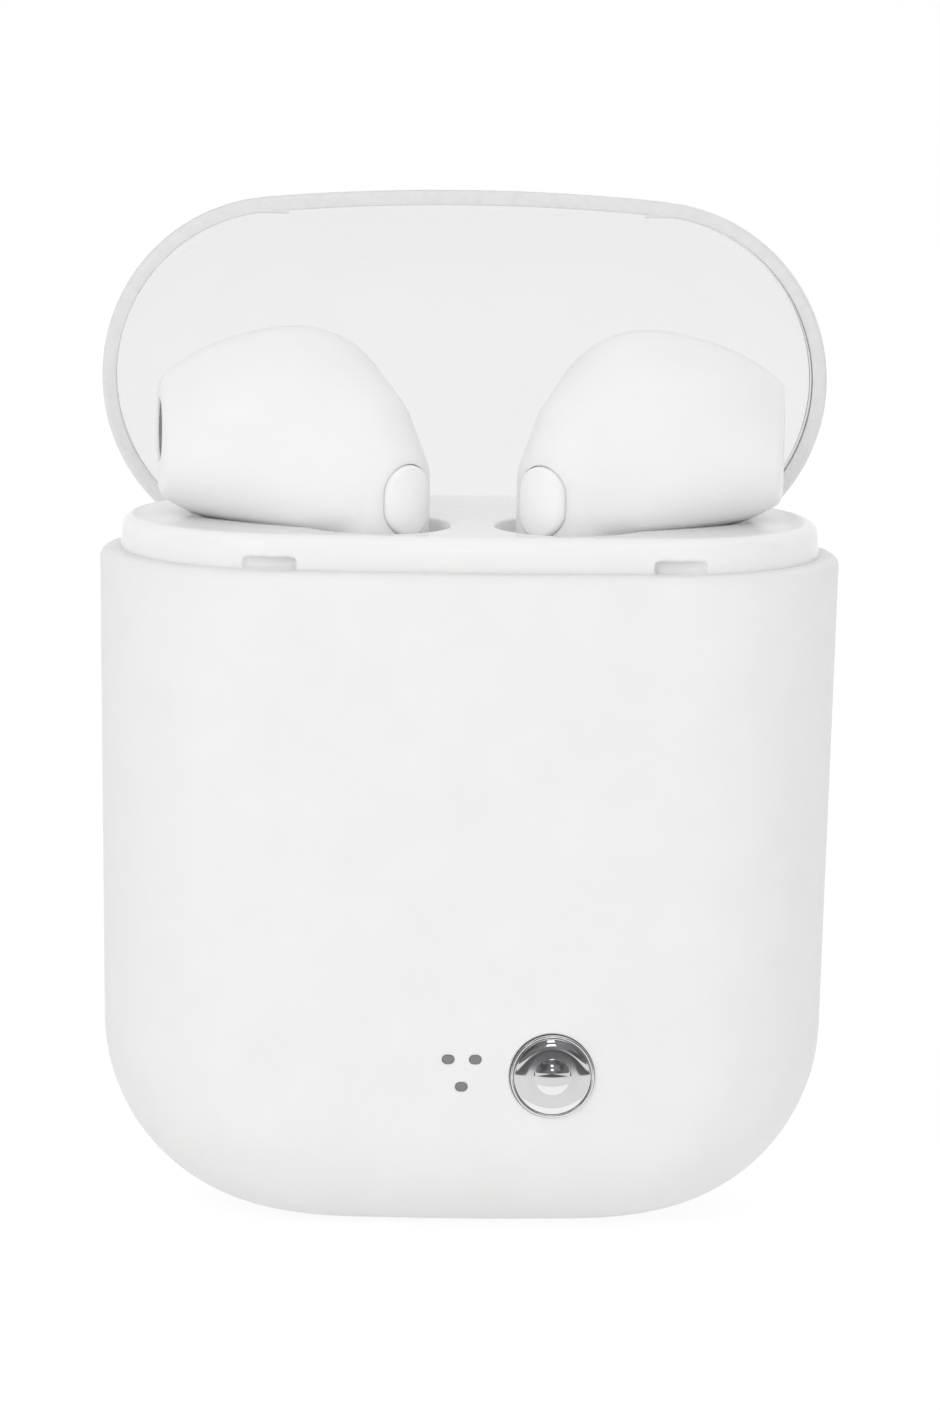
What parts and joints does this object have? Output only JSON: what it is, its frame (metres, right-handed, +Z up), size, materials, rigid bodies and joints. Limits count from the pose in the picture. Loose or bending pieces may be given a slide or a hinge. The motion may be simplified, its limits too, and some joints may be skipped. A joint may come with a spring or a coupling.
{
  "type": "wireless earbuds charging case",
  "caption": "Pocket charging case with a rounded flat body, clear hinged lid, chrome power button and wells that hold a pair of stem earbuds.",
  "frame": {"origin": "centre of the flat underside that the case stands on", "axes": "+X to the right seen from the front, -Y towards the front with the power button, +Z up"},
  "size_m": [0.055, 0.049, 0.0746],
  "materials": {
    "body_white": "fine moulded grain",
    "tray_white": "polished",
    "lid_clear": "clear polished",
    "bud_white": "polished",
    "bud_button": "polished",
    "button_chrome": "mirror polished",
    "steel": "plain",
    "contact_gold": "gold plated",
    "mesh_grey": "dark fine mesh",
    "black_plastic": "moulded",
    "guide_smoke": "smoked, moulded",
    "led_yellow": "encapsulated",
    "board_green": "solder mask",
    "cell_foil": "foil pouch",
    "foam": "closed-cell foam",
    "lead_sleeve": "silicone sleeve"
  },
  "bodies": {
    "case": {"outer_shell": "body_white", "inner_tray": "tray_white", "hinge_pin": "steel", "button_ring": "button_chrome", "button_switch": "black_plastic", "light_guide": "guide_smoke", "status_leds": "led_yellow", "main_board": "board_green", "usb_socket": "steel", "power_chips": "black_plastic", "battery_cell": "cell_foil", "battery_pad": "foam", "battery_leads": "lead_sleeve", "contact_board": "board_green", "contact_leads": "lead_sleeve", "pin_barrels": "contact_gold", "board_screws": "steel", "left_outer_spring": "steel", "left_inner_spring": "steel", "right_inner_spring": "steel", "right_outer_spring": "steel"},
    "lid": {"lid": "lid_clear"},
    "power_button": {"power_button": "button_chrome", "switch_plunger": "black_plastic"},
    "left_outer_pin": {"left_outer_pin": "contact_gold"},
    "left_inner_pin": {"left_inner_pin": "contact_gold"},
    "right_inner_pin": {"right_inner_pin": "contact_gold"},
    "right_outer_pin": {"right_outer_pin": "contact_gold"},
    "left_earbud": {"left_front_shell": "bud_white", "left_rear_shell": "bud_white", "left_switch": "black_plastic", "left_grille": "mesh_grey", "left_speaker": "steel", "left_cell": "cell_foil", "left_board": "board_green", "left_end_cap": "bud_white", "left_contacts": "contact_gold", "left_microphone": "contact_gold"},
    "left_button": {"left_button": "bud_button", "left_plunger": "black_plastic"},
    "right_earbud": {"right_front_shell": "bud_white", "right_rear_shell": "bud_white", "right_switch": "black_plastic", "right_grille": "mesh_grey", "right_speaker": "steel", "right_cell": "cell_foil", "right_board": "board_green", "right_end_cap": "bud_white", "right_contacts": "contact_gold", "right_microphone": "contact_gold"},
    "right_button": {"right_button": "bud_button", "right_plunger": "black_plastic"}
  },
  "joints": [
    {"name": "lid_hinge", "type": "hinge", "parent": "case", "child": "lid", "pos_m": [0, 0.01285, 0.04785], "axis": [1, 0, 0], "range_deg": [0, 95]},
    {"name": "power_button_press", "type": "slide", "parent": "case", "child": "power_button", "axis": [0, 1, 0], "range_m": [0, 0.0003], "stiffness_N_per_m": 300, "springref_m": -0.0004},
    {"name": "left_outer_pin_press", "type": "slide", "parent": "case", "child": "left_outer_pin", "axis": [0, 0, 1], "range_m": [-0.0006, 0], "stiffness_N_per_m": 60, "springref_m": 0.0004, "deforming": ["left_outer_spring"]},
    {"name": "left_inner_pin_press", "type": "slide", "parent": "case", "child": "left_inner_pin", "axis": [0, 0, 1], "range_m": [-0.0006, 0], "stiffness_N_per_m": 60, "springref_m": 0.0004, "deforming": ["left_inner_spring"]},
    {"name": "right_inner_pin_press", "type": "slide", "parent": "case", "child": "right_inner_pin", "axis": [0, 0, 1], "range_m": [-0.0006, 0], "stiffness_N_per_m": 60, "springref_m": 0.0004, "deforming": ["right_inner_spring"]},
    {"name": "right_outer_pin_press", "type": "slide", "parent": "case", "child": "right_outer_pin", "axis": [0, 0, 1], "range_m": [-0.0006, 0], "stiffness_N_per_m": 60, "springref_m": 0.0004, "deforming": ["right_outer_spring"]},
    {"name": "left_earbud_lift", "type": "slide", "parent": "case", "child": "left_earbud", "axis": [0, 0, 1], "range_m": [0, 0.045]},
    {"name": "left_button_press", "type": "slide", "parent": "left_earbud", "child": "left_button", "axis": [-0.6157, 0.788, 0], "range_m": [0, 0.0003], "stiffness_N_per_m": 200, "springref_m": -0.0004},
    {"name": "right_earbud_lift", "type": "slide", "parent": "case", "child": "right_earbud", "axis": [0, 0, 1], "range_m": [0, 0.045]},
    {"name": "right_button_press", "type": "slide", "parent": "right_earbud", "child": "right_button", "axis": [0.6157, 0.788, 0], "range_m": [0, 0.0003], "stiffness_N_per_m": 200, "springref_m": -0.0004}
  ]
}
